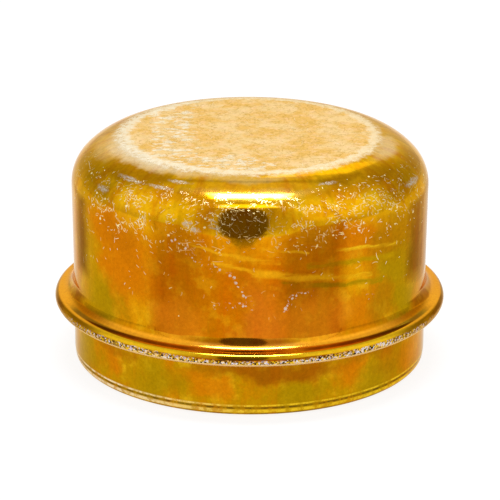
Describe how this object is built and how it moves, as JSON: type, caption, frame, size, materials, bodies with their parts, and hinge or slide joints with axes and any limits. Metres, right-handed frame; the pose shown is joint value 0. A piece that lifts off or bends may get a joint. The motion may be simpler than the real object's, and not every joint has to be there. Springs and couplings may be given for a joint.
{
  "type": "hub grease cap",
  "caption": "Drive-in hub grease cap: a deep-drawn round sheet-steel cup with a flat top, a folded stop flange and a press-fit skirt, in yellow zinc plate.",
  "frame": {"origin": "centre of the rim that the cap stands on", "axes": "+Z along the cap's axis, from the open rim to the flat top"},
  "size_m": [0.0558, 0.0558, 0.0328],
  "materials": {
    "plated_steel": "bright yellow zinc-chromate plate, iridescent, with fine handling scratches"
  },
  "bodies": {
    "root": {"grease_cap": "plated_steel"}
  },
  "joints": []
}
